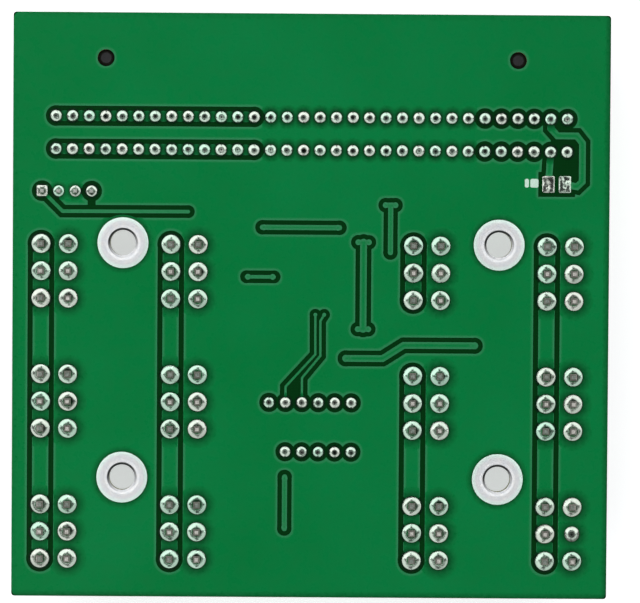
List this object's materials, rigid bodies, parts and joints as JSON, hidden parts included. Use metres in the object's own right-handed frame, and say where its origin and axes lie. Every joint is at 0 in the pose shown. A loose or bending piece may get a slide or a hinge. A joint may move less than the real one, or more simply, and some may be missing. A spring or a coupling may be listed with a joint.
{
  "type": "power supply breakout board",
  "caption": "Flat rectangular breakout board with a card-edge slot along one edge, columns of six-way power outlets, a voltage display and mounting holes, solder side up.",
  "frame": {"origin": "centre of the board's outline, at the mating faces of the outlets that it lies on", "axes": "+X along the slot edge to the right in the picture, +Y towards the slot edge, +Z out of the solder side"},
  "size_m": [0.092, 0.09, 0.0157],
  "materials": {
    "laminate": "dark green laminate",
    "green_mask": "satin solder mask",
    "tin": "bright tin",
    "solder": "bright solder",
    "black_plastic": "moulded",
    "pin_metal": "tinned brass, cut ends",
    "contact_metal": "bright",
    "display_plastic": "gloss",
    "segment_plastic": "diffusing",
    "chip_plastic": "moulded",
    "resistor_body": "glazed",
    "capacitor_body": "ceramic"
  },
  "bodies": {
    "root": {"circuit_board": "laminate", "solder_side_copper": "green_mask", "component_side_copper": "green_mask", "mounting_rings": "tin", "link_pads": "tin", "outlet_solder_joints": "solder", "slot_housing": "black_plastic", "slot_contacts_near": "contact_metal", "slot_contacts_far": "contact_metal", "slot_solder_joints": "solder", "display_body": "display_plastic", "display_segments": "segment_plastic", "display_pins": "tin", "display_solder_joints": "solder", "header_base": "black_plastic", "header_pins": "contact_metal", "header_solder_joints": "solder", "chip_lands": "tin", "controller_body": "chip_plastic", "controller_leads": "tin", "regulator_body": "chip_plastic", "regulator_leads": "tin", "chip_resistors": "resistor_body", "chip_resistor_caps": "tin", "chip_capacitors": "capacitor_body", "chip_capacitor_caps": "tin", "outlet_housing_01": "black_plastic", "outlet_pins_01": "pin_metal", "outlet_housing_02": "black_plastic", "outlet_pins_02": "pin_metal", "outlet_housing_03": "black_plastic", "outlet_pins_03": "pin_metal", "outlet_housing_04": "black_plastic", "outlet_pins_04": "pin_metal", "outlet_housing_05": "black_plastic", "outlet_pins_05": "pin_metal", "outlet_housing_06": "black_plastic", "outlet_pins_06": "pin_metal", "outlet_housing_07": "black_plastic", "outlet_pins_07": "pin_metal", "outlet_housing_08": "black_plastic", "outlet_pins_08": "pin_metal", "outlet_housing_09": "black_plastic", "outlet_pins_09": "pin_metal", "outlet_housing_10": "black_plastic", "outlet_pins_10": "pin_metal", "outlet_housing_11": "black_plastic", "outlet_pins_11": "pin_metal", "outlet_housing_12": "black_plastic", "outlet_pins_12": "pin_metal"}
  },
  "joints": []
}
